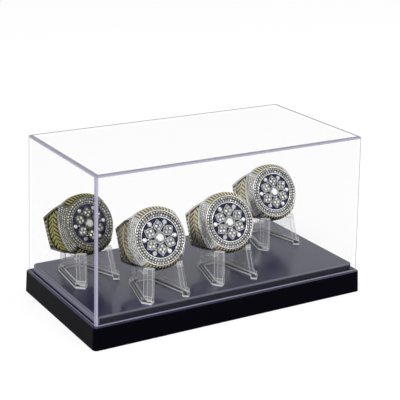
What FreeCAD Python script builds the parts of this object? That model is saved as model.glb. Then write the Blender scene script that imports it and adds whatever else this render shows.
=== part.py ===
"""Collectibles case: black base, clear cover, and four clear easel stands that each carry a ring."""
import FreeCAD, Part
import math
import os

from FreeCAD import Vector

# Base: one black moulding, open underneath
case_length = 150.0
case_depth = 80.5
rim_height = 11.2
deck_rise = 3.6
base_draft = 2.5
base_wall = 2.2
base_corner = 2.0
base_edge = 0.7
deck_corner = 2.2
deck_edge = 0.8
deck_clearance = 0.2
rib_thickness = 1.4
rib_drop = 3.0
rib_count_across = 3

# Cover: one clear moulding, open underneath
cover_inset = 1.55
cover_height = 70.1
cover_wall = 1.5
cover_draft = 1.0
cover_corner = 1.3
cover_inner_corner = 0.4
cover_edge = 0.8

# Stand: a clear easel, C-shaped from above and open to the front
stand_tip_inside_bore = 1.1
stand_side_outside_bore = 1.7
stand_rear_half = 5.6
stand_lip_depth = 3.6
stand_depth = 29.0
stand_wall = 2.0
stand_lean_back = 10.5
stand_lean_in = 6.3
stand_corner = 2.4
stand_web_height = 5.0
foot_rail = 1.0
foot_rail_height = 2.2
prong_height = 15.8
post_height = 21.0
post_top_depth = 2.6

# Ring: a cast award ring with a cushion-shaped head and a round face, tipped back on its stand
bore_radius = 10.3
shank_wall = 2.4
shank_half_width = 13.5
shank_back_height = 8.4
shank_middle_height = 18.2
shank_round = 50.0
shoulder_height = 25.6
shoulder_half_width = 13.6
shoulder_inset = 0.4
head_thickness = 6.3
head_girdle = 2.6
head_bevel = 3.0
head_half_width = 14.0
head_half_height = 14.9
head_corner_x = 10.9
head_corner_z = 11.3
face_radius = 13.0
border_outer = 12.6
border_inner = 9.9
border_depth = 1.0
field_radius = 9.4
field_depth = 1.0
panel_depth = 0.5
panel_margin = 1.4
panel_rib = 0.8
panel_front_length = 9.0
panel_back_length = 6.0
ring_tilt = 23.0
ring_setback = 10.0
ring_face_height = 28.0
ring_seat_gap = 0.3

# Stones and enamel in the ring's head
border_stone_count = 30
border_stone_radius = 1.1
border_stone_height = 1.15
small_stone_sides = 6
centre_stone_sides = 12
stone_table_share = 0.6
stone_clearance = 0.08
enamel_thickness = 0.6
petal_count = 6
petal_inner = 2.2
petal_outer = 8.8
petal_half_width = 2.3
petal_wall = 0.4
petal_proud = 0.1
petal_stone_radius = 0.82
collet_radius = 2.9
seat_depth = 0.7
stone_proud = 0.35

# Places of the stands' front feet, from the deck's edges, and the way each one is turned
stand_1_from_left = 18.9
stand_1_from_back = 40.0
stand_1_turn = 9.0
stand_2_from_left = 37.9
stand_2_from_front = 1.5
stand_3_from_right = 65.2
stand_3_from_front = 5.0
stand_4_from_right = 19.3
stand_4_from_back = 39.8

# Sizes that follow from the fits
stand_tip_half = bore_radius - stand_tip_inside_bore
stand_side_half = bore_radius + stand_side_outside_bore
deck_height = rim_height + deck_rise
cover_half_length = case_length / 2 - cover_inset
cover_half_depth = case_depth / 2 - cover_inset
deck_half_length = cover_half_length - cover_wall - deck_clearance
deck_half_depth = cover_half_depth - cover_wall - deck_clearance
face_distance = bore_radius + head_thickness
girdle_front = face_distance - head_bevel
girdle_back = girdle_front - head_girdle
tilt_sine = math.sin(math.radians(ring_tilt))
tilt_cosine = math.cos(math.radians(ring_tilt))
bore_setback = ring_setback + face_distance * tilt_cosine
bore_height = ring_face_height - face_distance * tilt_sine
shank_back = bore_radius + shank_wall


def rounded_rectangle(half_x, half_y, radius, z):
    """Closed wire of four straight sides and four corner arcs, level at z."""
    edges = []
    for turn in range(4):
        angle = math.radians(90 * turn)
        along = half_x if turn % 2 == 0 else half_y
        across = half_y if turn % 2 == 0 else half_x
        ahead = Vector(math.cos(angle), math.sin(angle), 0)
        left = Vector(-math.sin(angle), math.cos(angle), 0)
        level = Vector(0, 0, z)
        side_start = ahead * along - left * (across - radius) + level
        side_end = ahead * along + left * (across - radius) + level
        corner_centre = ahead * (along - radius) + left * (across - radius) + level
        corner_middle = corner_centre + (ahead + left) * (radius * math.sqrt(0.5))
        corner_end = ahead * (along - radius) + left * across + level
        edges.append(Part.LineSegment(side_start, side_end).toShape())
        edges.append(Part.Arc(side_end, corner_middle, corner_end).toShape())
    return Part.Wire(edges)


def drafted_block(half_x, half_y, radius, low, high, draft):
    """Rounded block whose sides lean in by the draft angle from its low face to its high face."""
    taper = (high - low) * math.tan(math.radians(draft))
    foot = rounded_rectangle(half_x, half_y, radius, low)
    top = rounded_rectangle(half_x - taper, half_y - taper, radius, high)
    return Part.makeLoft([foot, top], True, True)


def round_top_edge(block, radius):
    """Fillet the edges that lie in the block's highest plane."""
    high = block.BoundBox.ZMax
    edges = [edge for edge in block.Edges if edge.BoundBox.ZMin > high - 1e-4]
    return block.makeFillet(radius, edges)


def base_ribs():
    """Low stiffening ribs under the deck: one along its length and several across it."""
    half_x = deck_half_length - base_wall
    half_y = deck_half_depth - base_wall
    rib_low = deck_height - base_wall - rib_drop
    rib_size = rib_drop + base_wall / 2
    along = Part.makeBox(2 * half_x, rib_thickness, rib_size, Vector(-half_x, -rib_thickness / 2, rib_low))
    ribs = [along]
    pitch = 2 * half_x / (rib_count_across + 1)
    for number in range(rib_count_across):
        x = -half_x + pitch * (number + 1) - rib_thickness / 2
        ribs.append(Part.makeBox(rib_thickness, 2 * half_y, rib_size, Vector(x, -half_y, rib_low)))
    return ribs


def base_plinth():
    """Shell with a rim for the cover's foot and a deck that the cover slides over."""
    plinth = drafted_block(case_length / 2, case_depth / 2, base_corner, 0, rim_height, base_draft)
    plinth = round_top_edge(plinth, base_edge)
    deck = drafted_block(deck_half_length, deck_half_depth, deck_corner,
                         rim_height - base_wall, deck_height, 0)
    deck = round_top_edge(deck, deck_edge)
    hollow = drafted_block(case_length / 2 - base_wall, case_depth / 2 - base_wall, base_corner,
                           0, rim_height - base_wall, base_draft)
    under_deck = drafted_block(deck_half_length - base_wall, deck_half_depth - base_wall, deck_corner,
                               0, deck_height - base_wall, 0)
    shell = plinth.fuse(deck).cut(hollow).cut(under_deck)
    return shell.multiFuse(base_ribs()).removeSplitter()


def clear_cover():
    """Five thin walls with a little draft, standing on the base's rim."""
    top = rim_height + cover_height
    outside = drafted_block(cover_half_length, cover_half_depth, cover_corner, rim_height, top, cover_draft)
    outside = round_top_edge(outside, cover_edge)
    inside = drafted_block(cover_half_length - cover_wall, cover_half_depth - cover_wall,
                           cover_inner_corner, rim_height, top - cover_wall, cover_draft)
    return outside.cut(inside)


def offset_path(points, distance):
    """Open path of straight runs moved sideways, to the left of its direction, with mitred corners."""
    normals = []
    for start, end in zip(points, points[1:]):
        run = (end - start).normalize()
        normals.append(Vector(-run.y, run.x, 0))
    moved = [points[0] + normals[0] * distance]
    for point, before, after in zip(points[1:], normals, normals[1:]):
        middle = (before + after).normalize()
        moved.append(point + middle * (distance / middle.dot(before)))
    moved.append(points[-1] + normals[-1] * distance)
    return moved


def lean(height):
    """How far the stand's front leans back, and its sides lean in, at a height above the deck."""
    return height * math.tan(math.radians(stand_lean_back)), height * math.tan(math.radians(stand_lean_in))


def easel_outline(height, outset):
    """The stand's C-shaped section at a height: along the outside, then back along the inside of its wall."""
    back, inward = lean(height)
    tip = Vector(stand_tip_half - inward, back, height)
    side = Vector(stand_side_half - inward, stand_lip_depth + back, height)
    rear = Vector(stand_rear_half, stand_depth, height)
    before_rear = rear + (side - rear).normalize() * stand_corner
    after_rear = rear - Vector(stand_corner, 0, 0)
    right = [tip, side, before_rear, after_rear]
    left = [Vector(-point.x, point.y, point.z) for point in reversed(right)]
    outer = offset_path(right + left, -outset)
    inner = offset_path(right + left, stand_wall)
    return Part.makePolygon(outer + list(reversed(inner)) + [outer[0]])


def wing_half_width(depth, height):
    """Distance from the stand's middle to the outside of its wing at a depth and height."""
    back, inward = lean(height)
    share = (depth - stand_lip_depth - back) / (stand_depth - stand_lip_depth - back)
    return stand_side_half - inward - share * (stand_side_half - inward - stand_rear_half)


def easel_side(prong_depth, seat_height, post_front):
    """Side view of the stand as a block across it: front prong, seat, post and falling back edge."""
    wide = 2 * stand_side_half
    post_top = post_front + (post_height - seat_height) * tilt_sine / tilt_cosine
    corners = [(-stand_depth, 0), (-stand_depth, prong_height), (prong_depth, prong_height),
               (prong_depth, seat_height), (post_front, seat_height), (post_top, post_height),
               (post_top + post_top_depth, post_height), (stand_depth - stand_wall, stand_web_height),
               (2 * stand_depth, stand_web_height), (2 * stand_depth, 0)]
    points = [Vector(-wide, y, z) for y, z in corners]
    return Part.Face(Part.makePolygon(points + [points[0]])).extrude(Vector(2 * wide, 0, 0))


def easel_stand():
    """One clear moulding: leaning C-shaped wall on a foot rail, trimmed to its side view."""
    wall = Part.makeLoft([easel_outline(0, 0), easel_outline(post_height, 0)], True, True)
    rail = Part.makeLoft([easel_outline(0, foot_rail), easel_outline(foot_rail_height, foot_rail),
                          easel_outline(foot_rail_height + foot_rail, 0)], True, True)
    prong_inside = stand_tip_half - lean(prong_height)[1]
    prong_depth = head_front_depth(prong_inside, prong_height) - ring_seat_gap
    seat_outside = wing_half_width(ring_setback, prong_height)
    head_low = bore_height + girdle_back * tilt_sine - head_low_edge(seat_outside - stand_wall) * tilt_cosine
    seat_height = min(head_low, shank_low_height(seat_outside)) - ring_seat_gap
    post_front = bore_front_wall(wing_half_width(ring_setback, seat_height), seat_height) + ring_seat_gap
    return wall.fuse(rail).common(easel_side(prong_depth, seat_height, post_front)).removeSplitter()


def head_low_edge(x):
    """How far the girdle's lower edge lies below the bore's middle, at a distance from the ring's middle."""
    bow_height = head_half_height - head_corner_z
    bow_radius = (head_corner_x ** 2 + bow_height ** 2) / (2 * bow_height)
    return head_half_height - bow_radius + math.sqrt(bow_radius ** 2 - x ** 2)


def head_front_depth(x, height):
    """How far behind the stand's feet the head's bevel lies, at a place across it and a height."""
    girdle_low = head_low_edge(x)
    face_low = math.sqrt(face_radius ** 2 - x ** 2)
    girdle_depth = bore_setback - girdle_front * tilt_cosine - girdle_low * tilt_sine
    face_depth = bore_setback - face_distance * tilt_cosine - face_low * tilt_sine
    girdle_height = bore_height + girdle_front * tilt_sine - girdle_low * tilt_cosine
    face_height = bore_height + face_distance * tilt_sine - face_low * tilt_cosine
    share = (height - girdle_height) / (face_height - girdle_height)
    return girdle_depth + share * (face_depth - girdle_depth)


def shank_low_height(x):
    """Height above the deck of the shank's lower edge where the bore's front wall is x from the middle."""
    wall = -math.sqrt(bore_radius ** 2 - x ** 2)
    middle = (shank_back - girdle_back) / 2
    share = (wall + girdle_back) / (middle + girdle_back)
    edge = (shoulder_height + share * (shank_middle_height - shoulder_height)) / 2
    return bore_height - wall * tilt_sine - edge * tilt_cosine


def bore_front_wall(x, height):
    """How far behind the stand's feet the bore's front wall lies, at a place across it and a height."""
    middle = bore_setback + (height - bore_height) * tilt_sine / tilt_cosine
    return middle - math.sqrt(bore_radius ** 2 - x ** 2) / tilt_cosine


def arc_loop(corners, middles):
    """Closed wire of one arc per side, from corner to corner through the side's middle."""
    edges = []
    for number, corner in enumerate(corners):
        following = corners[(number + 1) % len(corners)]
        edges.append(Part.Arc(corner, middles[number], following).toShape())
    return Part.Wire(edges)


def cushion_outline(y, inset):
    """The head's girdle, moved in by an inset: four bowed sides that meet at corners, in the plane at y."""
    x, z = head_corner_x - inset, head_corner_z - inset
    corners = [Vector(x, y, -z), Vector(x, y, z), Vector(-x, y, z), Vector(-x, y, -z)]
    middles = [Vector(head_half_width - inset, y, 0), Vector(0, y, head_half_height - inset),
               Vector(inset - head_half_width, y, 0), Vector(0, y, inset - head_half_height)]
    return arc_loop(corners, middles)


def face_outline(y):
    """The round face, broken at the same four directions as the girdle's corners."""
    diagonal = math.hypot(head_corner_x, head_corner_z)
    x = face_radius * head_corner_x / diagonal
    z = face_radius * head_corner_z / diagonal
    corners = [Vector(x, y, -z), Vector(x, y, z), Vector(-x, y, z), Vector(-x, y, -z)]
    middles = [Vector(face_radius, y, 0), Vector(0, y, face_radius),
               Vector(-face_radius, y, 0), Vector(0, y, -face_radius)]
    return arc_loop(corners, middles)


def shank_plan(inset):
    """The shank from above, moved in by an inset: a round back that widens to the shoulders."""
    back = shank_back - inset
    join = Vector(back * math.sin(math.radians(shank_round)), back * math.cos(math.radians(shank_round)), 0)
    waist = Vector(shank_half_width - inset, 0, 0)
    front = Vector(shoulder_half_width - inset, -girdle_front, 0)
    across = [Vector(-point.x, point.y, 0) for point in (join, waist, front)]
    edges = [Part.Arc(front, waist, join).toShape(),
             Part.Arc(join, Vector(0, back, 0), across[0]).toShape(),
             Part.Arc(across[0], across[1], across[2]).toShape(),
             Part.LineSegment(across[2], front).toShape()]
    block = Part.Face(Part.Wire(edges)).extrude(Vector(0, 0, 2 * head_half_height))
    block.translate(Vector(0, 0, -head_half_height))
    return block


def shank_blank(inset):
    """The shank's outside before its height is cut: its plan, bowed from the front like the head's girdle."""
    bowed = Part.Face(cushion_outline(-girdle_front, shoulder_inset + inset))
    return shank_plan(inset).common(bowed.extrude(Vector(0, girdle_front + shank_back, 0)))


def shank_side(margin):
    """Side view of the shank as a block across it: its height falls in a shallow arc to the back."""
    wide = Vector(2 * shoulder_half_width, 0, 0)
    front, middle, back = -girdle_back, (shank_back - girdle_back) / 2, shank_back
    heights = [shoulder_height / 2 - margin, shank_middle_height / 2 - margin, shank_back_height / 2 - margin]
    upper = [Vector(0, y, z) - wide for y, z in zip((front, middle, back), heights)]
    lower = [Vector(point.x, point.y, -point.z) for point in upper]
    nose = [Vector(upper[0].x, -girdle_front, upper[0].z), Vector(upper[0].x, -girdle_front, lower[0].z)]
    edges = [Part.LineSegment(nose[1], nose[0]).toShape(),
             Part.LineSegment(nose[0], upper[0]).toShape(),
             Part.Arc(upper[0], upper[1], upper[2]).toShape(),
             Part.LineSegment(upper[2], lower[2]).toShape(),
             Part.Arc(lower[2], lower[1], lower[0]).toShape(),
             Part.LineSegment(lower[0], nose[1]).toShape()]
    return Part.Face(Part.Wire(edges)).extrude(wide * 2)


def shoulder_panels():
    """Two shallow sunk panels on each shoulder, one behind the other, a margin inside its edges."""
    skin = shank_blank(0).cut(shank_blank(panel_depth)).common(shank_side(panel_margin))
    front = panel_margin - girdle_back
    panels = []
    for length in (panel_front_length, panel_back_length):
        corner = Vector(-head_half_width, front, -head_half_height)
        panels.append(skin.common(Part.makeBox(2 * head_half_width, length, 2 * head_half_height, corner)))
        front = front + length + panel_rib
    return panels


def about_face(angle):
    """Turn about the face's own axis, which runs front to back through the bore's centre."""
    return Vector(0, 0, 0), Vector(0, 1, 0), angle


def petal_block(inset, low, high):
    """One petal of the rosette, moved in by an inset: straight sides and square points."""
    half = petal_half_width - inset
    inner = petal_inner + inset * math.sqrt(2)
    outer = petal_outer - inset * math.sqrt(2)
    corners = [(0, outer), (half, outer - half), (half, inner + half),
               (0, inner), (-half, inner + half), (-half, outer - half)]
    points = [Vector(x, -low, z) for x, z in corners]
    return Part.Face(Part.makePolygon(points + [points[0]])).extrude(Vector(0, low - high, 0))


def round_block(radius, low, high):
    """Disc on the face's axis between two distances from the bore's centre."""
    return Part.makeCylinder(radius, high - low, Vector(0, -low, 0), Vector(0, -1, 0))


def rosette(inset, low, high):
    """Six petals and the round collet at their middle, between two depths."""
    pieces = [round_block(collet_radius - inset, low, high)]
    for number in range(petal_count):
        petal = petal_block(inset, low, high)
        petal.rotate(*about_face(360 / petal_count * number))
        pieces.append(petal)
    return pieces


def ring_casting():
    """Shank, shoulders and head in one casting, with the face's channel, field and stone seats cut in."""
    shank = shank_blank(0).common(shank_side(0))
    shank = shank.cut(shoulder_panels())
    girdle = Part.Face(cushion_outline(-girdle_back, 0)).extrude(Vector(0, -head_girdle, 0))
    bevel = Part.makeLoft([cushion_outline(-girdle_front, 0), face_outline(-face_distance)], True, True)
    bore = Part.makeCylinder(bore_radius, 4 * head_half_height, Vector(0, 0, -2 * head_half_height))
    casting = shank.fuse(girdle).fuse(bevel).cut(bore)
    channel = round_block(border_outer, face_distance - border_depth, face_distance)
    channel = channel.cut(round_block(border_inner, 0, 2 * face_distance))
    field_floor = face_distance - field_depth
    casting = casting.cut(channel).cut(round_block(field_radius, field_floor, face_distance))
    petal_top = face_distance + petal_proud
    casting = casting.multiFuse(rosette(0, field_floor - field_depth / 2, petal_top))
    seats = rosette(petal_wall, petal_top - seat_depth, 2 * petal_top)
    return casting.cut(seats[0]).cut(Part.makeCompound(seats[1:])).removeSplitter()


def ring_enamel():
    """Enamel poured on the field's floor, round the rosette."""
    floor = face_distance - field_depth
    pool = round_block(field_radius - stone_clearance, floor, floor + enamel_thickness)
    return pool.cut(Part.makeCompound(rosette(-stone_clearance, floor / 2, 2 * floor)))


def faceted_stone(radius, sides, low, high):
    """Round cut stone on the face's axis: straight sides that lean in to a flat table."""
    turns = [2 * math.pi * number / sides for number in range(sides + 1)]
    girdle = Part.makePolygon([Vector(radius * math.cos(t), -low, radius * math.sin(t)) for t in turns])
    table = radius * stone_table_share
    crown = Part.makePolygon([Vector(table * math.cos(t), -high, table * math.sin(t)) for t in turns])
    return Part.makeLoft([girdle, crown], True, True)


def ring_border_stones():
    """A row of round stones standing on the channel's floor, all the way round the face."""
    floor = face_distance - border_depth
    row = (border_outer + border_inner) / 2
    stones = []
    for number in range(border_stone_count):
        stone = faceted_stone(border_stone_radius, small_stone_sides, floor, floor + border_stone_height)
        stone.translate(Vector(0, 0, row))
        stone.rotate(*about_face(360 / border_stone_count * number))
        stones.append(stone)
    return Part.makeCompound(stones)


def petal_stone_places():
    """Middles of a petal's four stones: one at each end and two side by side between them."""
    spread = petal_half_width - petal_wall - stone_clearance - petal_stone_radius
    pitch = math.sqrt((2 * petal_stone_radius + stone_clearance) ** 2 - spread ** 2)
    middle = (petal_inner + petal_outer) / 2
    return [Vector(0, 0, middle + pitch), Vector(spread, 0, middle),
            Vector(-spread, 0, middle), Vector(0, 0, middle - pitch)]


def ring_rosette_stones():
    """The centre stone in its collet and four small stones in each petal's seat."""
    petal_top = face_distance + petal_proud
    low = petal_top - seat_depth
    high = petal_top + stone_proud
    stones = [faceted_stone(collet_radius - petal_wall - stone_clearance, centre_stone_sides, low, high)]
    for number in range(petal_count):
        for middle in petal_stone_places():
            stone = faceted_stone(petal_stone_radius, small_stone_sides, low, high)
            stone.translate(middle)
            stone.rotate(*about_face(360 / petal_count * number))
            stones.append(stone)
    return Part.makeCompound(stones)


def stand_places():
    """Front-foot centre and turn of each stand on the deck."""
    left, right = -deck_half_length, deck_half_length
    front, back = -deck_half_depth, deck_half_depth
    return [(left + stand_1_from_left, back - stand_1_from_back, stand_1_turn),
            (left + stand_2_from_left, front + stand_2_from_front, 0),
            (right - stand_3_from_right, front + stand_3_from_front, 0),
            (right - stand_4_from_right, back - stand_4_from_back, 0)]


def to_ring_place(shape):
    """Tip a ring back and set it behind the stand's feet, above the deck."""
    placed = shape.copy()
    placed.rotate(Vector(0, 0, 0), Vector(1, 0, 0), -ring_tilt)
    placed.translate(Vector(0, bore_setback, bore_height))
    return placed


def to_stand_place(shape, place):
    """Turn a shape about its stand's front-foot centre and put it on the deck."""
    x, y, turn = place
    placed = shape.copy()
    placed.rotate(Vector(0, 0, 0), Vector(0, 0, 1), turn)
    placed.translate(Vector(x, y, deck_height))
    return placed


os.makedirs("parts", exist_ok=True)
base_plinth().exportStep("parts/base_plinth.step")
clear_cover().exportStep("parts/clear_cover.step")
stand = easel_stand()
ring_pieces = {"casting": ring_casting(), "enamel": ring_enamel(),
               "border_stones": ring_border_stones(), "rosette_stones": ring_rosette_stones()}
for number, place in enumerate(stand_places(), start=1):
    to_stand_place(stand, place).exportStep(f"parts/stand_{number}.step")
    for name, piece in ring_pieces.items():
        to_stand_place(to_ring_place(piece), place).exportStep(f"parts/ring_{number}_{name}.step")
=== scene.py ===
import math

import bpy
import numpy as np
from mathutils import Matrix, Vector


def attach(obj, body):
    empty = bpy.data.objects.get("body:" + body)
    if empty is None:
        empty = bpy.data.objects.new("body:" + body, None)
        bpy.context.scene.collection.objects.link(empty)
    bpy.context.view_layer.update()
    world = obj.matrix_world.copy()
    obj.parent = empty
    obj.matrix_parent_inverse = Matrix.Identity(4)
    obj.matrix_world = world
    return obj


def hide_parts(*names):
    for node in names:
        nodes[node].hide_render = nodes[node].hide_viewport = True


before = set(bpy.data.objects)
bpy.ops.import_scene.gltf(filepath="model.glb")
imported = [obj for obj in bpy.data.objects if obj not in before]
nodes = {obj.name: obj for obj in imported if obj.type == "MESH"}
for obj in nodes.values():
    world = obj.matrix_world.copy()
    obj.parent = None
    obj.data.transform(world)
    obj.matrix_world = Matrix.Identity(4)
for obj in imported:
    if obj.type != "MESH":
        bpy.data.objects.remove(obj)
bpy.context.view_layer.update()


# The base is one black styrene moulding, open underneath, with a raised deck that the cover slides
# over. It comes out of a polished tool: the outer walls stay black and the deck mirrors what stands
# round it at a low angle. Its colour also holds painted light: a faint blue on the upward faces,
# the deck's top among them, and a grey on the deck's walls above the rim, lighter on the end walls,
# as painted reflection, and a lighter grey along the deck's top edges as a painted highlight.
def plain_finish(name, **sockets):
    """A material of one Principled shader whose named sockets hold constants."""
    material = bpy.data.materials.new(name)
    material.use_nodes = True
    shader = material.node_tree.nodes["Principled BSDF"]
    for socket, value in sockets.items():
        shader.inputs[socket.replace("_", " ")].default_value = value
    return material


def paint(node, material):
    """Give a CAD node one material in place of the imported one."""
    nodes[node].data.materials.clear()
    nodes[node].data.materials.append(material)


def feed(tree, socket, value):
    """Link a node's result to one socket of the material's Principled shader."""
    tree.links.new(value, tree.nodes["Principled BSDF"].inputs[socket])


def sum_node(tree, operation, first, second=None):
    """One Math node on two sockets or numbers, and its result."""
    node = tree.nodes.new("ShaderNodeMath")
    node.operation = operation
    for socket, value in zip(node.inputs, (first, second)):
        if isinstance(value, (int, float)):
            socket.default_value = value
        elif value is not None:
            tree.links.new(value, socket)
    return node.outputs[0]


def step_node(tree, value, low, high):
    """A smooth step from 0 at low to 1 at high."""
    node = tree.nodes.new("ShaderNodeMapRange")
    node.interpolation_type = "SMOOTHSTEP"
    node.inputs["From Min"].default_value = low
    node.inputs["From Max"].default_value = high
    tree.links.new(value, node.inputs["Value"])
    return node.outputs["Result"]


def colour_mix(tree, share, first, second):
    """A colour between two colours or sockets, by a share."""
    node = tree.nodes.new("ShaderNodeMix")
    node.data_type = "RGBA"
    tree.links.new(share, node.inputs["Factor"])
    for socket, value in ((node.inputs["A"], first), (node.inputs["B"], second)):
        if isinstance(value, tuple):
            socket.default_value = value
        else:
            tree.links.new(value, socket)
    return node.outputs["Result"]


def split_node(tree, vector):
    """The X, Y and Z of a vector socket."""
    node = tree.nodes.new("ShaderNodeSeparateXYZ")
    tree.links.new(vector, node.inputs[0])
    return node.outputs


def case_place(tree):
    """X, Y and Z in the case's own frame, in metres, from the Object coordinates."""
    return split_node(tree, tree.nodes.new("ShaderNodeTexCoord").outputs["Object"])


wall_black = (0.003, 0.0026, 0.0055, 1)
deck_black_and_painted_reflection = (0.012, 0.012, 0.048, 1)
painted_deck_side_reflection = (0.035, 0.036, 0.05, 1)
painted_deck_end_reflection = (0.34, 0.34, 0.43, 1)
painted_deck_edge_highlight = (0.15, 0.15, 0.20, 1)
deck_edge_x = 0.0710
deck_edge_y = 0.0362
deck_edge_z = 0.0138
deck_edge_blur = 0.0003
rim_line = (0.01115, 0.01125)
upward_tilt = (0.2, 0.6)
endward_tilt = (0.4, 0.8)
wall_shine = 0.01
deck_shine = 0.11
deck_gloss = 0.46
black_styrene = plain_finish("black_styrene", Roughness=0.28, Coat_Roughness=0.1,
                             Specular_Tint=(0.88, 0.88, 1.0, 1))
tree = black_styrene.node_tree
facing = split_node(tree, tree.nodes.new("ShaderNodeNewGeometry").outputs["Normal"])
upward = step_node(tree, facing["Z"], *upward_tilt)
endward = step_node(tree, sum_node(tree, "ABSOLUTE", facing["X"]), *endward_tilt)
shine = sum_node(tree, "ADD", sum_node(tree, "MULTIPLY", upward, deck_shine), wall_shine)
feed(tree, "Specular IOR Level", shine)
feed(tree, "Coat Weight", sum_node(tree, "MULTIPLY", upward, deck_gloss))
place = case_place(tree)
# Painted highlight: a lighter grey band along the deck's top edges.
past_x = step_node(tree, sum_node(tree, "ABSOLUTE", place["X"]),
                   deck_edge_x, deck_edge_x + deck_edge_blur)
past_y = step_node(tree, sum_node(tree, "ABSOLUTE", place["Y"]),
                   deck_edge_y, deck_edge_y + deck_edge_blur)
past_z = step_node(tree, place["Z"], deck_edge_z, deck_edge_z + deck_edge_blur)
on_painted_edge_highlight = sum_node(tree, "MULTIPLY", sum_node(tree, "MAXIMUM", past_x, past_y), past_z)
above_rim = sum_node(tree, "SUBTRACT", step_node(tree, place["Z"], *rim_line), upward)
# Painted reflection: upward faces take a faint blue over the black, for the deck's sheen.
black = colour_mix(tree, upward, wall_black, deck_black_and_painted_reflection)
# Painted reflection: the deck's walls above the rim are grey, lighter on the end walls.
painted_deck_wall_reflection = colour_mix(tree, endward, painted_deck_side_reflection, painted_deck_end_reflection)
black = colour_mix(tree, above_rim, black, painted_deck_wall_reflection)
feed(tree, "Base Color", colour_mix(tree, on_painted_edge_highlight, black, painted_deck_edge_highlight))
paint("base_plinth", black_styrene)


# The stands are four like easels of clear acrylic, each moulded in one piece and only set down on
# the deck. Their faces are polished and show as a faint veil over what lies behind them. Along
# their edges and feet, and more faintly on their faces that do not face along x, the white acrylic
# is made
# more opaque: painted highlights in place of the light that the polished edges catch.
numbers = (1, 2, 3, 4)
stand_edge = 0.0006
stand_edge_samples = 8
stand_edge_turn = (0.995, 0.95)
stand_front_tilt = (0.56, 0.40)
stand_foot = (0.0158, 0.0154)
painted_highlight_share = 0.90
painted_face_highlight_share = 0.20
stand_veil = 0.11
stand_acrylic = plain_finish("stand_acrylic", Base_Color=(0.97, 0.97, 1.0, 1), Roughness=0.06)
tree = stand_acrylic.node_tree
true_normal = tree.nodes.new("ShaderNodeNewGeometry").outputs["Normal"]
facing = split_node(tree, true_normal)
edge_face = step_node(tree, sum_node(tree, "ABSOLUTE", facing["X"]), *stand_front_tilt)
rounded = tree.nodes.new("ShaderNodeBevel")
rounded.samples = stand_edge_samples
rounded.inputs["Radius"].default_value = stand_edge
turned = tree.nodes.new("ShaderNodeVectorMath")
turned.operation = "DOT_PRODUCT"
tree.links.new(rounded.outputs["Normal"], turned.inputs[0])
tree.links.new(true_normal, turned.inputs[1])
edge_line = step_node(tree, turned.outputs["Value"], *stand_edge_turn)
foot_line = step_node(tree, case_place(tree)["Z"], *stand_foot)
# Painted highlight: opaque white along edges and feet, fainter on faces not facing along x.
lines = sum_node(tree, "MULTIPLY", sum_node(tree, "MAXIMUM", edge_line, foot_line),
                 painted_highlight_share)
bright = sum_node(tree, "MAXIMUM", lines, sum_node(tree, "MULTIPLY", edge_face, painted_face_highlight_share))
feed(tree, "Alpha", sum_node(tree, "ADD", bright, stand_veil))
for number in numbers:
    paint(f"stand_{number}", stand_acrylic)


# Each ring is a casting plated in pale silver and gold, with a cushion-shaped head and a round
# face. It hangs tipped back on its stand: the head lies on the seat and two posts reach up into
# the bore. A ring's own frame is in millimetres, with its face towards minus y.
deck_height = 14.8
ring_tilt = math.radians(23)
bore_setback = 25.28
bore_height = 21.514
ring_places = [(-52.85, -3.0, math.radians(9)), (-33.85, -35.5, 0.0),
               (6.55, -32.0, 0.0), (52.45, -2.8, 0.0)]
dull_silver = (0.10, 0.10, 0.075, 1)
pale_silver = (0.50, 0.50, 0.48, 1)
soft_silver = (0.48, 0.48, 0.46, 1)
silver_colours = [dull_silver, pale_silver, pale_silver, soft_silver]
channel_colour = (0.28, 0.28, 0.27, 1)
seat_colour = (0.42, 0.42, 0.41, 1)
below_face = (0.01655, 0.01625)
above_floor = (0.0150, 0.0152)
inside_rim = (0.01268, 0.01262)
channel_start = (0.0095, 0.0097)


def to_case(points, place):
    """Ring-frame millimetres to case-frame metres: tip back by the tilt, move behind the feet,
    turn, and set on the deck."""
    x, y, turn = place
    across, deep, high = points[..., 0], points[..., 1], points[..., 2]
    back = deep * math.cos(ring_tilt) + high * math.sin(ring_tilt) + bore_setback
    up = high * math.cos(ring_tilt) - deep * math.sin(ring_tilt) + bore_height
    return 0.001 * np.stack([x + across * math.cos(turn) - back * math.sin(turn),
                             y + across * math.sin(turn) + back * math.cos(turn),
                             up + deck_height], -1)


def in_ring_frame(tree, place):
    """Object coordinates turned back into a ring's own frame, in metres, by one Mapping node."""
    x, y, turn = place
    tip = Matrix.Rotation(ring_tilt, 3, "X")
    turn_back = tip @ Matrix.Rotation(-turn, 3, "Z")
    shift = turn_back @ Vector((x, y, deck_height)) + tip @ Vector((0, bore_setback, bore_height))
    coordinates = tree.nodes.new("ShaderNodeTexCoord")
    mapping = tree.nodes.new("ShaderNodeMapping")
    mapping.inputs["Rotation"].default_value = turn_back.to_euler("XYZ")
    mapping.inputs["Location"].default_value = -0.001 * shift
    tree.links.new(coordinates.outputs["Object"], mapping.inputs["Vector"])
    return mapping.outputs["Vector"]


def plated_casting(name, place, silver):
    """Polished plate that is dark with patina in the face's sunk channel and field."""
    material = plain_finish(name, Metallic=1.0, Roughness=0.2)
    tree = material.node_tree
    local = split_node(tree, in_ring_frame(tree, place))
    forward = sum_node(tree, "MULTIPLY", local["Y"], -1.0)
    square = sum_node(tree, "ADD", sum_node(tree, "POWER", local["X"], 2.0),
                      sum_node(tree, "POWER", local["Z"], 2.0))
    radius = sum_node(tree, "SQRT", square)
    sunk = sum_node(tree, "MULTIPLY", step_node(tree, forward, *below_face),
                    step_node(tree, forward, *above_floor))
    inside = step_node(tree, radius, *inside_rim)
    in_channel = step_node(tree, radius, *channel_start)
    patina = colour_mix(tree, in_channel, seat_colour, channel_colour)
    dark = sum_node(tree, "MULTIPLY", sunk, inside)
    feed(tree, "Base Color", colour_mix(tree, dark, silver, patina))
    return material


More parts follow.
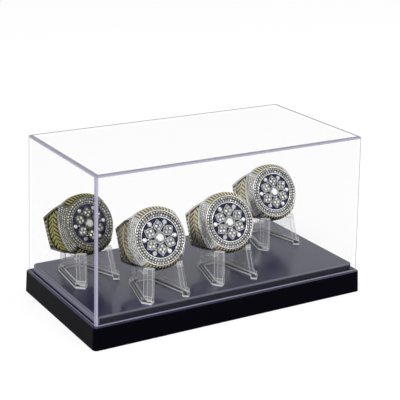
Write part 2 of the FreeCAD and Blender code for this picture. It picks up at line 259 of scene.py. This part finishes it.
for number, place, silver in zip(numbers, ring_places, silver_colours):
    paint(f"ring_{number}_casting", plated_casting(f"plated_casting_{number}", place, silver))


# The enamel is a deep blue glass paste, poured on the field's floor round the petals.
# It is fired and polished to a glossy, flat surface, and holds by itself in its recess.
blue_enamel = plain_finish("blue_enamel", Base_Color=(0.006, 0.010, 0.085, 1), Roughness=0.08,
                           Specular_IOR_Level=0.25)
for number in numbers:
    paint(f"ring_{number}_enamel", blue_enamel)


# The border's clear paste stones stand in two rows in the face's channel, foil backed and held by
# the metal. Each is round, with an eight-sided girdle, small crown facets and a flat table, and
# each facet is painted a lighter or darker tone as a painted glint.
border_rows = [(10.58, 48, 0.0), (11.92, 54, 0.5)]
border_stone_radius = 0.64
border_foot = 15.6
border_stone_height = 1.12
border_glint_tones = (0.28, 0.42, 0.74)
stone_sides = 8
stone_profile = [(1.0, 0.0), (0.92, 0.68), (0.70, 1.0)]
glint_spread = [0.0, 0.30, 0.45, 0.34]
facet_pitch = 12.9898
stone_pitch = 78.233
stray_scale = 43758.5453


def stone_facets(count):
    """Triangles of many stones: foot, girdle to crown ring, crown ring to table, and table, all
    facing outwards."""
    i = np.arange(stone_sides)
    j = (i + 1) % stone_sides
    girdle, crown, table = i, i + stone_sides, i + 2 * stone_sides
    girdle_next, crown_next, table_next = j, j + stone_sides, j + 2 * stone_sides
    fan = np.arange(1, stone_sides - 1)
    zero = np.zeros_like(fan)
    one_stone = np.concatenate([
        np.stack([zero, fan + 1, fan], 1),
        np.stack([girdle, girdle_next, crown], 1),
        np.stack([girdle_next, crown_next, crown], 1),
        np.stack([table, crown, table_next], 1),
        np.stack([crown, crown_next, table_next], 1),
        np.stack([zero, fan, fan + 1], 1) + 2 * stone_sides])
    starts = len(stone_profile) * stone_sides * np.arange(count)
    return (one_stone[None] + starts[:, None, None]).reshape(-1, 3)


def cut_stones(middles, sides, ups, axes, radii, heights):
    """Round stones: three rings of points about each axis,
    middle + radius * (cos * side + sin * up) + height * axis."""
    turn = 2 * np.pi * np.arange(stone_sides) / stone_sides
    turns = np.stack([turn, turn + np.pi / stone_sides, turn])
    shares, lifts = np.array(stone_profile).T[..., None]
    across = (shares * np.cos(turns))[None, ..., None] * sides[:, None, None, :]
    along = (shares * np.sin(turns))[None, ..., None] * ups[:, None, None, :]
    rises = lifts[None, ..., None] * axes[:, None, None, :]
    points = (middles[:, None, None, :] + np.reshape(radii, (-1, 1, 1, 1)) * (across + along)
              + np.reshape(heights, (-1, 1, 1, 1)) * rises)
    return points.reshape(-1, 3), stone_facets(len(middles))


def stray(counted, pitch):
    """A scatter from 0 to 1: the fraction of a large sine of each counted number."""
    return np.modf(np.abs(np.sin(counted * pitch) * stray_scale))[0]


def painted_glint_tones(stones, side, crown, table):
    """A painted glint for each facet of many stones: a tone about the tone of its kind, strayed by
    its own number, or for a table by its stone's number."""
    counts = [stone_sides - 2, 2 * stone_sides, 2 * stone_sides, stone_sides - 2]
    kinds = np.tile(np.repeat([0.0, side, crown, table], counts), stones)
    spread = np.tile(np.repeat(glint_spread, counts), stones)
    on_table = np.tile(np.repeat([False, False, False, True], counts), stones)
    by_facet = stray(np.arange(len(kinds)), facet_pitch)
    by_stone = stray(np.repeat(np.arange(stones), sum(counts)), stone_pitch)
    return np.clip(kinds + spread * (2 * np.where(on_table, by_stone, by_facet) - 1), 0, 1)


def face_stones(radii, turns, foot, stone_radius, height):
    """Stones on the face at given radii and turns about its axis, each facing straight out."""
    flat = np.zeros_like(turns)
    depth = np.full_like(radii, -foot)
    middles = np.stack([radii * np.sin(turns), depth, radii * np.cos(turns)], 1)
    sides = np.stack([np.cos(turns), flat, -np.sin(turns)], 1)
    ups = np.stack([np.sin(turns), flat, np.cos(turns)], 1)
    axes = np.tile([0.0, -1.0, 0.0], (len(radii), 1))
    return cut_stones(middles, sides, ups, axes, np.broadcast_to(stone_radius, radii.shape),
                      np.broadcast_to(height, radii.shape))


def two_tones(name, low, high, rough, metal):
    """A finish whose colour runs from one tone to another by the piece's own mark."""
    material = plain_finish(name, Metallic=metal, Roughness=rough)
    tree = material.node_tree
    mark = tree.nodes.new("ShaderNodeAttribute")
    mark.attribute_name = "mark"
    feed(tree, "Base Color", colour_mix(tree, mark.outputs["Fac"], low, high))
    return material


def ring_piece(number, kind, points, faces, finishes, marks=None, faceted=False):
    """A mesh piece of one ring from ring-frame points and triangles or quads, riding on the ring's
    body, with its marks kept by facet on a faceted piece and by point on a smooth one."""
    name = f"ring_{number}_{kind}"
    mesh = bpy.data.meshes.new(name)
    mesh.from_pydata(to_case(points, ring_places[number - 1]), [], faces)
    if marks is not None:
        mark = mesh.attributes.new("mark", "FLOAT", "FACE" if faceted else "POINT")
        mark.data.foreach_set("value", marks.astype(np.float32))
    mesh.polygons.foreach_set("use_smooth", np.full(len(faces), not faceted))
    mesh.materials.append(finishes[number - 1])
    mesh.update()
    piece = bpy.data.objects.new(name, mesh)
    bpy.context.scene.collection.objects.link(piece)
    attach(piece, f"ring_{number}")
    return piece


# The stones' colour runs from near black to near white by each facet's painted glint tone.
clear_stone = two_tones("clear_stone", (0.05, 0.05, 0.05, 1), (0.98, 0.98, 0.98, 1), 0.28, 0.85)
dusky_stone = two_tones("dusky_stone", (0.01, 0.01, 0.008, 1), (0.66, 0.66, 0.62, 1), 0.28, 0.85)
stone_finishes = [dusky_stone, clear_stone, clear_stone, clear_stone]
border_radii = np.concatenate([np.full(count, radius) for radius, count, shift in border_rows])
border_turns = np.concatenate([2 * np.pi * (np.arange(count) + shift) / count
                               for radius, count, shift in border_rows])
border_points, border_faces = face_stones(border_radii, border_turns, border_foot,
                                          border_stone_radius, border_stone_height)
border_marks = painted_glint_tones(len(border_radii), *border_glint_tones)
for number in numbers:
    border = ring_piece(number, "border_pave", border_points, border_faces,
                        stone_finishes, border_marks, True)
    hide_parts(f"ring_{number}_border_stones")


# The rosette's stones fill six petals, four to a petal, round one large stone in the middle
# collet. They are the same clear paste as the border's, set in sunk seats with a thin wall of
# metal round each petal.
petal_count = 6
petal_middle = 5.5
petal_spread = 1.0
petal_pitch = 1.397
petal_stone_radius = 0.82
centre_stone_radius = 2.42
rosette_foot = 16.0
rosette_height = 1.05
rosette_glint_tones = (0.42, 0.54, 0.90)
petal_turns = 2 * np.pi / petal_count * np.arange(petal_count)
petal_x = np.array([0.0, petal_spread, -petal_spread, 0.0])
petal_z = np.array([petal_pitch, 0.0, 0.0, -petal_pitch]) + petal_middle
stone_turns = petal_turns[:, None] + np.arctan2(petal_x, petal_z)[None, :]
rosette_radii = np.append(np.tile(np.hypot(petal_x, petal_z), petal_count), 0.0)
rosette_turns = np.append(stone_turns.ravel(), 0.0)
rosette_sizes = np.append(np.full(stone_turns.size, petal_stone_radius), centre_stone_radius)
rosette_points, rosette_faces = face_stones(rosette_radii, rosette_turns, rosette_foot,
                                            rosette_sizes, rosette_height)
rosette_marks = painted_glint_tones(len(rosette_radii), *rosette_glint_tones)
for number in numbers:
    petals = ring_piece(number, "rosette_pave", rosette_points, rosette_faces,
                        stone_finishes, rosette_marks, True)
    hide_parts(f"ring_{number}_rosette_stones")


# Two round wires edge the face's stone border, one outside it and one between it and the enamel
# field. They are part of the casting, turned bright and polished last.
face_distance = 16.6
wire_radii = (12.84, 9.65)
wire_thickness = 0.18
wire_steps = 96
wire_sides = 8


def grid_faces(rows, columns):
    """Quads of a closed tube of points, laid out ring by ring, that joins up both ways."""
    row, column = np.meshgrid(np.arange(rows), np.arange(columns), indexing="ij")
    next_row, next_column = (row + 1) % rows, (column + 1) % columns
    corners = [row * columns + column, row * columns + next_column,
               next_row * columns + next_column, next_row * columns + column]
    return np.stack(corners, -1).reshape(-1, 4)


def round_wire(radius):
    """A torus in the face's plane: (radius + thickness * cos b) round the axis, and
    thickness * sin b along it."""
    a, b = np.meshgrid(2 * np.pi * np.arange(wire_steps) / wire_steps,
                       2 * np.pi * np.arange(wire_sides) / wire_sides, indexing="ij")
    reach = radius + wire_thickness * np.cos(b)
    depth = wire_thickness * np.sin(b) - face_distance
    return np.stack([reach * np.cos(a), depth, reach * np.sin(a)], -1).reshape(-1, 3)


def joined(parts):
    """Several meshes as one: their points, their faces counted on, and their marks if they have
    them, each end to end."""
    starts = np.cumsum([0] + [len(part[0]) for part in parts[:-1]])
    points = np.concatenate([part[0] for part in parts])
    faces = np.concatenate([part[1] + start for part, start in zip(parts, starts)])
    marks = [np.concatenate([part[2] for part in parts])] if len(parts[0]) > 2 else []
    return [points, faces] + marks


wire_points, wire_faces = joined([(round_wire(radius), grid_faces(wire_steps, wire_sides))
                                  for radius in wire_radii])
bright_plate = plain_finish("bright_plate", Base_Color=(0.86, 0.84, 0.78, 1), Metallic=1.0,
                            Roughness=0.14)
dull_plate = plain_finish("dull_plate", Base_Color=(0.30, 0.30, 0.22, 1), Metallic=1.0,
                          Roughness=0.16)
plate_finishes = [dull_plate, bright_plate, bright_plate, bright_plate]
for number in numbers:
    ring_piece(number, "rim_wires", wire_points, wire_faces, plate_finishes)


# Between the petals stand six pairs of clear paste stones, a large and a small.
# Each sits in a cast and plated collet that rises out of the enamel.
sprig_radii = (7.9, 6.1)
sprig_sizes = (1.06, 0.42)
sprig_foot = 16.3
sprig_height = 0.66
sprig_glint_tones = (0.4, 0.62, 0.92)
collet_wall = 0.2
collet_foot = 16.1
collet_height = 0.62
sprig_r = np.tile(sprig_radii, petal_count)
sprig_a = np.repeat(np.pi / petal_count + petal_turns, len(sprig_radii))
sprig_size = np.tile(sprig_sizes, petal_count)
sprig_points, sprig_faces = face_stones(sprig_r, sprig_a, sprig_foot, sprig_size, sprig_height)
collet_points, collet_faces = face_stones(sprig_r, sprig_a, collet_foot, sprig_size + collet_wall,
                                          collet_height)
sprig_marks = painted_glint_tones(len(sprig_r), *sprig_glint_tones)
for number in numbers:
    ring_piece(number, "sprig_collets", collet_points, collet_faces, plate_finishes,
               None, True)
    ring_piece(number, "sprig_stones", sprig_points, sprig_faces, stone_finishes,
               sprig_marks, True)


# The head's two sides are paved with five rows of small clear stones, from corner to corner.
# They are pushed into the metal, so only their crowns stand out.
face_radius = 13.0
girdle_front = 13.6
girdle_half_width = 14.0
girdle_half_height = 14.9
girdle_corner = (10.9, 11.3)
bevel_rows = (-0.58, -0.24, 0.16, 0.48, 0.80)
bevel_row_stones = 23
bevel_row_start = 0.03
bevel_row_length = 0.94
bevel_stone_radius = 0.45
bevel_stone_height = 0.62
bevel_sink = 0.22
bevel_glint_tones = (0.25, 0.5, 0.82)


def bowed_side(half, corner_out, corner_along, u):
    """Along and out of one bowed side: a circle arc through its middle and both corners, at a share
    of its angle."""
    rise = half - corner_out
    radius = (corner_along ** 2 + rise ** 2) / (2 * rise)
    angle = (2 * u - 1) * math.asin(corner_along / radius)
    return radius * np.sin(angle), half - radius + radius * np.cos(angle)


def bevel(side, u, t):
    """The head on side 0 right, 1 top, 2 left, 3 bottom: straight lines from the girdle's arc at
    t = 0 to the face's arc at t = 1, and along the girdle's band for t under 0."""
    corner_x, corner_z = girdle_corner
    corner_angle = math.atan2(corner_z, corner_x)
    if side % 2 == 0:
        along, out = bowed_side(girdle_half_width, corner_x, corner_z, u)
        girdle = np.stack([out, along], -1)
        angle = (2 * u - 1) * corner_angle
    else:
        along, out = bowed_side(girdle_half_height, corner_z, corner_x, u)
        girdle = np.stack([-along, out], -1)
        angle = corner_angle + u * (math.pi - 2 * corner_angle)
    face = face_radius * np.stack([np.cos(angle), np.sin(angle)], -1)
    flat = (girdle + np.maximum(t, 0)[..., None] * (face - girdle)) * (1 if side < 2 else -1)
    depth = -girdle_front - t * (face_distance - girdle_front)
    return np.stack([flat[..., 0], depth, flat[..., 1]], -1)


def bevel_axes(side, u, t):
    """Unit vectors along the bevel, up it and out of it, from small steps along u and t."""
    step = 1e-4
    along = bevel(side, u + step, t) - bevel(side, u - step, t)
    along = along / np.linalg.norm(along, axis=-1, keepdims=True)
    out = np.cross(along, bevel(side, u, t + step) - bevel(side, u, t - step))
    out = out / np.linalg.norm(out, axis=-1, keepdims=True)
    return along, np.cross(out, along), out


def bevel_stones(side):
    """Rows of stones along one side bevel, every second row moved by half a step."""
    rows = np.repeat(np.array(bevel_rows), bevel_row_stones)
    shift = np.repeat(0.25 + 0.5 * (np.arange(len(bevel_rows)) % 2), bevel_row_stones)
    steps = np.tile(np.arange(bevel_row_stones), len(bevel_rows)) + shift
    u = bevel_row_start + bevel_row_length * steps / bevel_row_stones
    along, up, out = bevel_axes(side, u, rows)
    middles = bevel(side, u, rows) - bevel_sink * out
    return cut_stones(middles, along, up, out, np.full(len(u), bevel_stone_radius),
                      np.full(len(u), bevel_stone_height))


pave_points, pave_faces = joined([bevel_stones(0), bevel_stones(2)])
pave_marks = painted_glint_tones(2 * len(bevel_rows) * bevel_row_stones, *bevel_glint_tones)
for number in numbers:
    ring_piece(number, "bevel_pave", pave_points, pave_faces, stone_finishes,
               pave_marks, True)


# The head's top and bottom bevels carry gold-plated fluted bands of rounded bars.
# They are cast in relief with the head, and the ground between the bars is left dark.
flute_count = 12
flute_columns = 16 * flute_count + 1
flute_rows = 9
flute_height = 0.36
flute_ground = 0.04
flute_lift = 0.35
flute_span = 0.7
band_start = 0.05
band_length = 0.9
band_low = 0.08
band_high = 0.92
band_edge = 0.12
band_sink = 0.25
band_gilt = (0.55, 0.35)


def slab(top, under):
    """A closed shell between two grids of points: the top, the underside turned over, and a wall
    round their edge."""
    rows, columns = top.shape[:2]
    size = rows * columns
    index = np.arange(size).reshape(rows, columns)
    quads = np.stack([index[:-1, :-1], index[:-1, 1:], index[1:, 1:], index[1:, :-1]], -1)
    quads = quads.reshape(-1, 4)
    rim = np.concatenate([index[0, :-1], index[:-1, -1], index[-1, :0:-1], index[:0:-1, 0]])
    following = np.roll(rim, -1)
    wall = np.stack([rim, rim + size, following + size, following], -1)
    points = np.concatenate([top.reshape(-1, 3), under.reshape(-1, 3)])
    return points, np.concatenate([quads, quads[:, ::-1] + size, wall])


def gilded(mark, start, span):
    """Marks of a slab: gilt from a start of its relief's height over a span, none underneath."""
    gilt = np.clip((mark - start) / span, 0, 1)
    return np.concatenate([gilt.ravel(), np.zeros(gilt.size)])


def fluted_band(side):
    """A bevel band whose height is a row of rounded bars along u, a clipped cosine that is flat on
    top, closed at both edges of t."""
    t, u = np.meshgrid(np.linspace(band_low, band_high, flute_rows),
                       np.linspace(band_start, band_start + band_length, flute_columns),
                       indexing="ij")
    wave = np.cos(2 * np.pi * flute_count * (u - band_start) / band_length + np.pi)
    bars = np.clip((wave + flute_lift) / flute_span, 0, 1)
    edge = np.clip(np.minimum(t - band_low, band_high - t) / band_edge, 0, 1)
    mark = bars * edge
    out = bevel_axes(side, u, t)[2]
    ground = bevel(side, u, t)
    top = ground + (flute_ground + flute_height * mark)[..., None] * out
    points, faces = slab(top, ground - band_sink * out)
    return points, faces, gilded(mark, *band_gilt)


gilt_relief = two_tones("gilt_relief", (0.13, 0.12, 0.085, 1), (0.70, 0.63, 0.43, 1), 0.3, 1.0)
olive_relief = two_tones("olive_relief", (0.008, 0.008, 0.004, 1), (0.36, 0.33, 0.09, 1), 0.3, 1.0)
relief_finishes = [olive_relief, gilt_relief, gilt_relief, gilt_relief]
band_points, band_faces, band_marks = joined([fluted_band(1), fluted_band(3)])
for number in numbers:
    ring_piece(number, "fluted_bands", band_points, band_faces, relief_finishes,
               band_marks)


# Each shoulder has two sunk panels cast with a gilt relief on a dark ground: a laurel spray, then
# a lattice of beads. The relief is as high as the panel is deep, so its tops are flush with the
# shank.
panel_depth = 0.5
panel_margin = 1.5
panel_edge = ((-11.0, 12.8), (0.85, 9.1), (12.7, 4.2))
panel_rows = 131
panel_columns = 57
panel_fade_along = 0.35
panel_fade_across = 0.4
relief_ground = 0.02
relief_height = 0.46
relief_sink = 0.25
relief_gilt = (0.45, 0.45)
shank_back = 12.7
shank_join = math.radians(50)
shoulder_front = 13.6
shoulder_middle = 13.5
shoulder_bow_inset = 0.4
laurel_span = (-9.5, -0.7)
leaf_pitch = 2.1
leaf_slant = 0.6
leaf_reach = 2.1
leaf_width = 0.9
leaf_round = 0.6
vein_depth = 0.35
vein_width = 0.16
stem_width = 0.35
stem_height = 1.2
bead_span = (0.3, 6.1)
bead_pitch = 1.9
bead_swell = 1.5
bead_ground = 0.25


def circle_through(first, second, third):
    """Centre and radius of the circle through three points of a plane."""
    (ax, ay), (bx, by), (cx, cy) = first, second, third
    scale = 2 * (ax * (by - cy) + bx * (cy - ay) + cx * (ay - by))
    a, b, c = ax * ax + ay * ay, bx * bx + by * by, cx * cx + cy * cy
    x = (a * (by - cy) + b * (cy - ay) + c * (ay - by)) / scale
    y = (a * (cx - bx) + b * (ax - cx) + c * (bx - ax)) / scale
    return x, y, math.hypot(ax - x, ay - y)


def shoulder_skin(y, z, inset):
    """How far out the shoulder lies: the lesser of its outline from above and its bow from the
    front, less an inset."""
    back = shank_back - inset
    plan = circle_through((shoulder_front - inset, -girdle_front), (shoulder_middle - inset, 0.0),
                          (back * math.sin(shank_join), back * math.cos(shank_join)))
    from_above = plan[0] + np.sqrt(plan[2] ** 2 - (y - plan[1]) ** 2)
    inset = inset + shoulder_bow_inset
    corner_x, corner_z = girdle_corner[0] - inset, girdle_corner[1] - inset
    side = circle_through((corner_x, -corner_z), (girdle_half_width - inset, 0.0),
                          (corner_x, corner_z))
    crown = circle_through((corner_x, corner_z), (0.0, girdle_half_height - inset),
                           (-corner_x, corner_z))
    side_bow = side[0] + np.sqrt(side[2] ** 2 - np.minimum(np.abs(z), corner_z) ** 2)
    crown_bow = np.sqrt(crown[2] ** 2 - (np.maximum(np.abs(z), corner_z) - crown[1]) ** 2)
    return np.minimum(from_above, np.where(np.abs(z) <= corner_z, side_bow, crown_bow))


def laurel(y, z, middle):
    """Height of a leaf spray: a stem along z, and slanted leaves in pairs whose width swells and
    tapers along them, with a sunk vein."""
    reach = np.abs(y - middle)
    leaf = np.mod(z - leaf_slant * reach + leaf_pitch / 2, leaf_pitch) - leaf_pitch / 2
    swell = np.clip(1 - ((reach - leaf_reach) / leaf_reach) ** 2, 1e-6, 1)
    width = leaf_width * np.sqrt(swell)
    vein = vein_depth * np.exp(-(leaf / vein_width) ** 2)
    blade = np.clip(1 - (leaf / width) ** 2, 0, 1) ** leaf_round - vein
    stem = np.clip(stem_height - (reach / stem_width) ** 2, 0, 1)
    return np.clip(np.maximum(blade, stem), 0, 1)


def beads(y, z, middle):
    """Height of a lattice of round beads: the squares of two slanted waves multiplied, once for the
    cosines and once for the sines, and added."""
    first = np.pi * ((y - middle + z) / bead_pitch) / 2
    second = np.pi * ((y - middle - z) / bead_pitch) / 2
    return np.clip(bead_swell * np.cos(first) ** 2 * np.cos(second) ** 2
                   + bead_swell * np.sin(first) ** 2 * np.sin(second) ** 2 - bead_ground, 0, 1)


def shoulder_relief(span, side, pattern):
    """A panel's relief over y and z: the sunk floor plus the pattern's height, faded out at the
    panel's border and closed by a floor inside the metal."""
    start, end = span
    edge = circle_through(*panel_edge)
    v, y = np.meshgrid(np.linspace(-1, 1, panel_rows), np.linspace(start, end, panel_columns),
                       indexing="ij")
    half = edge[1] + np.sqrt(edge[2] ** 2 - (y - edge[0]) ** 2) - panel_margin
    z = v * half
    fade_along = np.clip(np.minimum(y - start, end - y) / panel_fade_along, 0, 1)
    fade_across = np.clip((1 - np.abs(v)) * half / panel_fade_across, 0, 1)
    mark = pattern(y, z, (start + end) / 2) * np.minimum(fade_along, fade_across)
    floor = shoulder_skin(y, z, panel_depth)
    top = np.stack([side * (floor + relief_ground + relief_height * mark), y, z * side], -1)
    under = np.stack([side * (floor - relief_sink), y, z * side], -1)
    points, faces = slab(top, under)
    return points, faces[:, ::-1], gilded(mark, *relief_gilt)


relief_points, relief_faces, relief_marks = joined([
    shoulder_relief(span, side, pattern) for side in (1, -1)
    for span, pattern in ((laurel_span, laurel), (bead_span, beads))])
for number in numbers:
    ring_piece(number, "shoulder_relief", relief_points, relief_faces,
               relief_finishes, relief_marks)


# The cover is one clear acrylic moulding with slightly leaning walls, open underneath, that only
# stands on the base's rim. Its faces are polished. Its thick corners, top edges and foot are made
# opaque lilac grey on the sides that one looks at from outside: partly the acrylic's own tint, and
# partly painted light, standing in for the light that gathers there. Darker lilacs on the top
# faces, the end faces and where the corners are seen edge-on are painted shade.
cover_half_length = 0.07345
cover_half_depth = 0.03870
cover_foot = 0.0112
cover_top = 0.0813
cover_lean = math.tan(math.radians(1))
side_reach = 0.0011
end_reach = 0.0017
top_reach = 0.0019
lip_reach = 0.0010
foot_reach = (0.0008, 0.0005)
grazing_turn = (0.6, 0.85)
flat_tilt = (0.5, 0.9)
side_lilac = (0.74, 0.70, 0.90, 1)
end_lilac_painted_shade = (0.56, 0.53, 0.74, 1)
edge_on_lilac_painted_shade = (0.42, 0.39, 0.58, 1)
face_grey = (0.22, 0.22, 0.24, 1)
lip_lilac = (0.46, 0.43, 0.61, 1)
top_lilac_painted_shade = (0.22, 0.205, 0.29, 1)
upright_painted_line = 0.9
top_painted_line = 0.85
foot_painted_line = 0.60
cover_haze = 0.02


def near(tree, out, face, reach, blur=(1.1, 0.9)):
    """1 within a reach of an outer face and 0 further in, by a step between two shares of it."""
    return step_node(tree, out, face - blur[0] * reach, face - blur[1] * reach)


cover_acrylic = plain_finish("cover_acrylic", Roughness=0.05, Specular_IOR_Level=0.04)
tree = cover_acrylic.node_tree
place = case_place(tree)
leaned = sum_node(tree, "MULTIPLY", sum_node(tree, "SUBTRACT", place["Z"], cover_foot), cover_lean)
out_x = sum_node(tree, "ADD", sum_node(tree, "ABSOLUTE", place["X"]), leaned)
out_y = sum_node(tree, "ADD", sum_node(tree, "ABSOLUTE", place["Y"]), leaned)
near_end = near(tree, out_x, cover_half_length, side_reach, (1.15, 0.85))
near_side = near(tree, out_y, cover_half_depth, end_reach)
at_corner = near(tree, out_x, cover_half_length, end_reach)
grazing = step_node(tree, tree.nodes.new("ShaderNodeLayerWeight").outputs["Facing"], *grazing_turn)
rounding = sum_node(tree, "MINIMUM", sum_node(tree, "MINIMUM", at_corner, near_side), grazing)
upright = sum_node(tree, "MAXIMUM", sum_node(tree, "MINIMUM", near_end, near_side), rounding)
top_end = near(tree, out_x, cover_half_length, top_reach)
top_side = near(tree, out_y, cover_half_depth, top_reach)
near_top = near(tree, place["Z"], cover_top, lip_reach, (1.1, 0.7))
along_top = sum_node(tree, "MINIMUM", near_top, sum_node(tree, "MAXIMUM", top_end, top_side))
at_foot = step_node(tree, place["Z"], cover_foot + foot_reach[0], cover_foot + foot_reach[1])
geometry = tree.nodes.new("ShaderNodeNewGeometry")
facing = split_node(tree, geometry.outputs["Normal"])
painted_shade_on_end = step_node(tree, sum_node(tree, "ABSOLUTE", facing["X"]), *flat_tilt)
painted_shade_on_top = step_node(tree, facing["Z"], *flat_tilt)
# Painted shade: the end faces take a darker lilac than the long sides, and the corners seen edge-on
# a darker one still.
upright_tint = colour_mix(tree, painted_shade_on_end, side_lilac, end_lilac_painted_shade)
upright_tint = colour_mix(tree, rounding, upright_tint, edge_on_lilac_painted_shade)
# Painted shade: the top faces of the top edges take a darker lilac than the lip below them.
top_tint = colour_mix(tree, painted_shade_on_top, lip_lilac, top_lilac_painted_shade)
tint = colour_mix(tree, sum_node(tree, "MAXIMUM", upright, at_foot), face_grey, upright_tint)
feed(tree, "Base Color", colour_mix(tree, along_top, tint, top_tint))
# Painted light: the corners, top edges and foot are made more opaque, standing in for the light
# they gather.
corner = sum_node(tree, "MAXIMUM", sum_node(tree, "MULTIPLY", upright, upright_painted_line),
                  sum_node(tree, "MULTIPLY", along_top, top_painted_line))
cloud = sum_node(tree, "MAXIMUM", corner, sum_node(tree, "MULTIPLY", at_foot, foot_painted_line))
from_outside = sum_node(tree, "SUBTRACT", 1.0, geometry.outputs["Backfacing"])
cloud = sum_node(tree, "MULTIPLY", cloud, from_outside)
feed(tree, "Alpha", sum_node(tree, "ADD", cloud, cover_haze))
paint("clear_cover", cover_acrylic)


# The floor is a plain white sweep, wide enough to fill the picture from any side.
# Light falls from a white surround, a large soft lamp at the upper left and a weaker one at the
# right.
floor_half = 6.0
floor_glow = 0.74
floor_mesh = bpy.data.meshes.new("floor")
floor_mesh.from_pydata([(-floor_half, -floor_half, 0), (floor_half, -floor_half, 0),
                        (floor_half, floor_half, 0), (-floor_half, floor_half, 0)],
                       [], [(0, 1, 2, 3)])
floor = bpy.data.objects.new("floor", floor_mesh)
bpy.context.scene.collection.objects.link(floor)
floor_white = plain_finish("floor_white", Base_Color=(0.36, 0.36, 0.36, 1), Roughness=1.0,
                           Specular_IOR_Level=0.0, Emission_Color=(1, 1, 1, 1))
floor_mesh.materials.append(floor_white)


def seen_or_mirrored(tree):
    """1 for rays that the camera, a mirror or glass sends out, and 0 for the light that falls on
    things."""
    path = tree.nodes.new("ShaderNodeLightPath").outputs
    seen = sum_node(tree, "MAXIMUM", path["Is Camera Ray"], path["Is Glossy Ray"])
    return sum_node(tree, "MAXIMUM", seen, path["Is Transmission Ray"])


tree = floor_white.node_tree
feed(tree, "Emission Strength", sum_node(tree, "MULTIPLY", seen_or_mirrored(tree), floor_glow))

light_white = (0.55, 0.55, 0.56, 1)
seen_white = (1, 1, 1, 1)
world = bpy.data.worlds.new("white_surround")
bpy.context.scene.world = world
world.use_nodes = True
tree = world.node_tree
shade = colour_mix(tree, seen_or_mirrored(tree), light_white, seen_white)
tree.links.new(shade, tree.nodes["Background"].inputs["Color"])

case_middle = Vector((0, 0, 0.04))


def soft_lamp(name, position, size, power):
    """A square area lamp aimed at the middle of the case."""
    lamp = bpy.data.lights.new(name, "AREA")
    lamp.size = size
    lamp.energy = power
    holder = bpy.data.objects.new(name, lamp)
    holder.location = position
    holder.rotation_euler = (case_middle - Vector(position)).to_track_quat("-Z", "Y").to_euler()
    bpy.context.scene.collection.objects.link(holder)


soft_lamp("key_lamp", (-0.7, -0.6, 1.1), 0.6, 7.0)
soft_lamp("fill_lamp", (0.9, -0.5, 0.8), 0.5, 3.0)


# The camera stands to the left of the front and a little above, with a long lens.
# It is rolled slightly, as the case's uprights lean a little in the picture.
camera_position = (-0.27883, -0.46610, 0.23091)
camera_turn = math.radians(-31.14)
camera_rise = math.radians(18.57)
camera_roll = math.radians(1.34)
back = Vector((math.sin(camera_turn) * math.cos(camera_rise),
               -math.cos(camera_turn) * math.cos(camera_rise), math.sin(camera_rise)))
right = Vector((math.cos(camera_turn), math.sin(camera_turn), 0))
up = back.cross(right)
rolled_right = math.cos(camera_roll) * right + math.sin(camera_roll) * up
rolled_up = math.cos(camera_roll) * up - math.sin(camera_roll) * right
camera_axes = Matrix((rolled_right, rolled_up, back)).transposed()
camera = bpy.data.objects.new("camera", bpy.data.cameras.new("camera"))
camera.data.sensor_width = 36.0
camera.data.lens = 104.24
camera.data.clip_start = 0.01
camera.matrix_world = Matrix.Translation(camera_position) @ camera_axes.to_4x4()
bpy.context.scene.collection.objects.link(camera)
bpy.context.scene.camera = camera
bpy.context.scene.view_settings.view_transform = "Standard"
